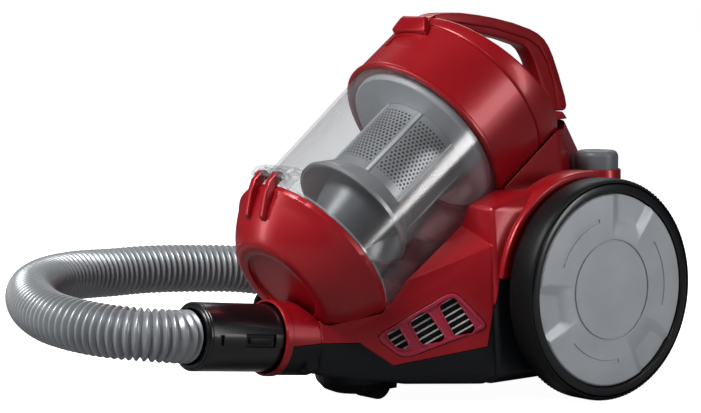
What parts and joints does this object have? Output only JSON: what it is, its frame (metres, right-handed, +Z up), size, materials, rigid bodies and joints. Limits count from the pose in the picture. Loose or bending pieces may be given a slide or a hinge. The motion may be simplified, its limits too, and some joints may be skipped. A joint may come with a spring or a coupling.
{
  "type": "canister vacuum cleaner",
  "caption": "Bagless canister vacuum cleaner: tilted clear cyclone bin with carry handle, large rear wheels, front caster and a corrugated hose.",
  "frame": {"origin": "on the floor, at the centre of the cleaner's outline without its free hose", "axes": "+Z up, -Y forwards to the hose socket, +X the cleaner's left side"},
  "size_m": [0.6245, 0.7998, 0.3193],
  "materials": {
    "red": "glossy red moulding",
    "dark_red": "darker red moulding",
    "crimson": "satin crimson vent bezel",
    "black": "satin black moulding",
    "gloss_black": "gloss black",
    "rubber": "black rubber",
    "silver": "silver-grey plastic",
    "grey": "mid grey plastic",
    "clear": "clear moulded plastic",
    "steel": "steel",
    "foam": "filter foam",
    "hose_grey": "silver-grey flexible corrugated hose"
  },
  "bodies": {
    "chassis": {"base_pan": "black", "upper_body": "red", "inlet_housing": "red", "inlet_duct": "black", "vent_frame_left": "crimson", "vent_frame_right": "crimson", "vent_grille_left": "black", "vent_grille_right": "black", "exhaust_filter_left": "foam", "exhaust_filter_right": "foam", "power_button_collar": "red", "rewind_button_collar": "red", "power_switch": "black", "axle_left": "steel", "axle_right": "steel", "axle_clip_left": "steel", "axle_clip_right": "steel", "motor_housing": "grey", "motor": "steel", "cord_reel_pin": "steel", "cord_outlet": "black", "caster_stem": "steel", "hose": "hose_grey", "hose_end_collar": "gloss_black", "hose_grip": "black"},
    "dust_bin": {"bin_cup": "clear", "lid_hinge_pin": "steel", "cyclone_shroud": "silver", "cyclone_cone": "grey", "vortex_tube": "black", "fine_filter": "foam", "cap_ring": "red", "cap_crown": "red", "carry_handle": "dark_red"},
    "lid": {"bin_lid": "red", "lid_seal": "rubber"},
    "catch": {"lid_catch": "dark_red"},
    "release": {"bin_release_clip": "dark_red"},
    "wheel_l": {"wheel_tyre_left": "rubber", "wheel_rim_left": "gloss_black", "wheel_hubcap_left": "silver"},
    "wheel_r": {"wheel_tyre_right": "rubber", "wheel_rim_right": "gloss_black", "wheel_hubcap_right": "silver"},
    "caster": {"caster_fork": "black", "caster_pin": "steel"},
    "caster_roller": {"caster_wheel": "rubber"},
    "fan": {"motor_shaft": "steel", "fan_impeller": "silver"},
    "reel": {"cord_reel": "black"},
    "power": {"power_button": "grey"},
    "rewind": {"rewind_button": "grey", "reel_brake_lever": "black"},
    "cuff": {"hose_cuff": "gloss_black"},
    "cuff_latch_l": {"cuff_button_left": "gloss_black"},
    "cuff_latch_r": {"cuff_button_right": "gloss_black"},
    "slider": {"suction_slider": "silver"}
  },
  "joints": [
    {"name": "wheel_left_spin", "type": "hinge", "parent": "chassis", "child": "wheel_l", "pos_m": [0.124, 0.116, 0.092], "axis": [1, 0, 0], "continuous": true},
    {"name": "wheel_right_spin", "type": "hinge", "parent": "chassis", "child": "wheel_r", "pos_m": [-0.124, 0.116, 0.092], "axis": [1, 0, 0], "continuous": true},
    {"name": "caster_swivel", "type": "hinge", "parent": "chassis", "child": "caster", "pos_m": [0, -0.046, 0.024], "axis": [0, 0, 1], "continuous": true},
    {"name": "caster_spin", "type": "hinge", "parent": "caster", "child": "caster_roller", "pos_m": [0, -0.029, 0.0125], "axis": [1, 0, 0], "continuous": true},
    {"name": "bin_lift", "type": "slide", "parent": "chassis", "child": "dust_bin", "axis": [0, 0.7923, 0.6101], "range_m": [0, 0.24]},
    {"name": "lid_swing", "type": "hinge", "parent": "dust_bin", "child": "lid", "pos_m": [0, -0.1329, 0.18984], "axis": [-1, 0, 0], "range_deg": [0, 80.5]},
    {"name": "catch_slide", "type": "slide", "parent": "dust_bin", "child": "catch", "axis": [0, 0.7923, 0.6101], "range_m": [0, 0.003], "stiffness_N_per_m": 300},
    {"name": "release_slide", "type": "slide", "parent": "dust_bin", "child": "release", "axis": [0, -0.7923, -0.6101], "range_m": [0, 0.004], "stiffness_N_per_m": 600},
    {"name": "power_press", "type": "slide", "parent": "chassis", "child": "power", "axis": [0, 0, -1], "range_m": [0, 0.0045], "stiffness_N_per_m": 900},
    {"name": "rewind_press", "type": "slide", "parent": "chassis", "child": "rewind", "axis": [0, 0, -1], "range_m": [0, 0.0045], "stiffness_N_per_m": 900},
    {"name": "fan_spin", "type": "hinge", "parent": "chassis", "child": "fan", "pos_m": [0.02, 0.105, 0.075], "axis": [1, 0, 0], "continuous": true},
    {"name": "reel_spin", "type": "hinge", "parent": "chassis", "child": "reel", "pos_m": [-0.065, 0.112, 0.088], "axis": [1, 0, 0], "continuous": true},
    {"name": "cuff_swivel", "type": "hinge", "parent": "chassis", "child": "cuff", "pos_m": [0, -0.1385, 0.0595], "axis": [0, -0.9951, 0.0993], "continuous": true},
    {"name": "cuff_latch_left_press", "type": "slide", "parent": "cuff", "child": "cuff_latch_l", "axis": [-1, 0, 0], "range_m": [0, 0.0025], "stiffness_N_per_m": 500},
    {"name": "cuff_latch_right_press", "type": "slide", "parent": "cuff", "child": "cuff_latch_r", "axis": [1, 0, 0], "range_m": [0, 0.0025], "stiffness_N_per_m": 500},
    {"name": "suction_slide", "type": "slide", "parent": "chassis", "child": "slider", "axis": [0.678, -0.735, 0], "range_m": [-0.006, 0.006]}
  ],
  "couplings": [
    {"joint": "lid_swing", "follows": "bin_lift", "rad_per_m": 5.8178}
  ]
}
